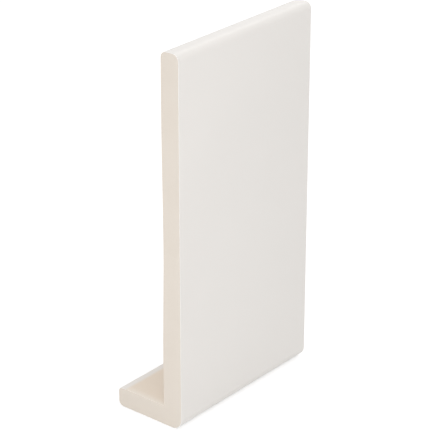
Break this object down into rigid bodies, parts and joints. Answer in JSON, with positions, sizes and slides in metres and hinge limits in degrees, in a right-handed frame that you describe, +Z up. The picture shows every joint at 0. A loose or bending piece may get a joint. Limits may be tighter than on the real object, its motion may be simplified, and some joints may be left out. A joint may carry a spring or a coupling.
{
  "type": "foamed pvc corner panel",
  "caption": "Short sawn length of white foamed PVC board, L-shaped in section: a tall face wall with rounded long edges and a short return leg at its foot.",
  "frame": {"origin": "centre of the footprint, on the plane that the return leg's underside stands on", "axes": "+X along the extrusion from the sawn end that the picture shows nearest, +Y back from the show face towards the return leg's nose, +Z up the face wall"},
  "size_m": [0.089, 0.0368, 0.175],
  "materials": {
    "foamed_pvc": "satin"
  },
  "bodies": {
    "root": {"corner_panel": "foamed_pvc"}
  },
  "joints": []
}
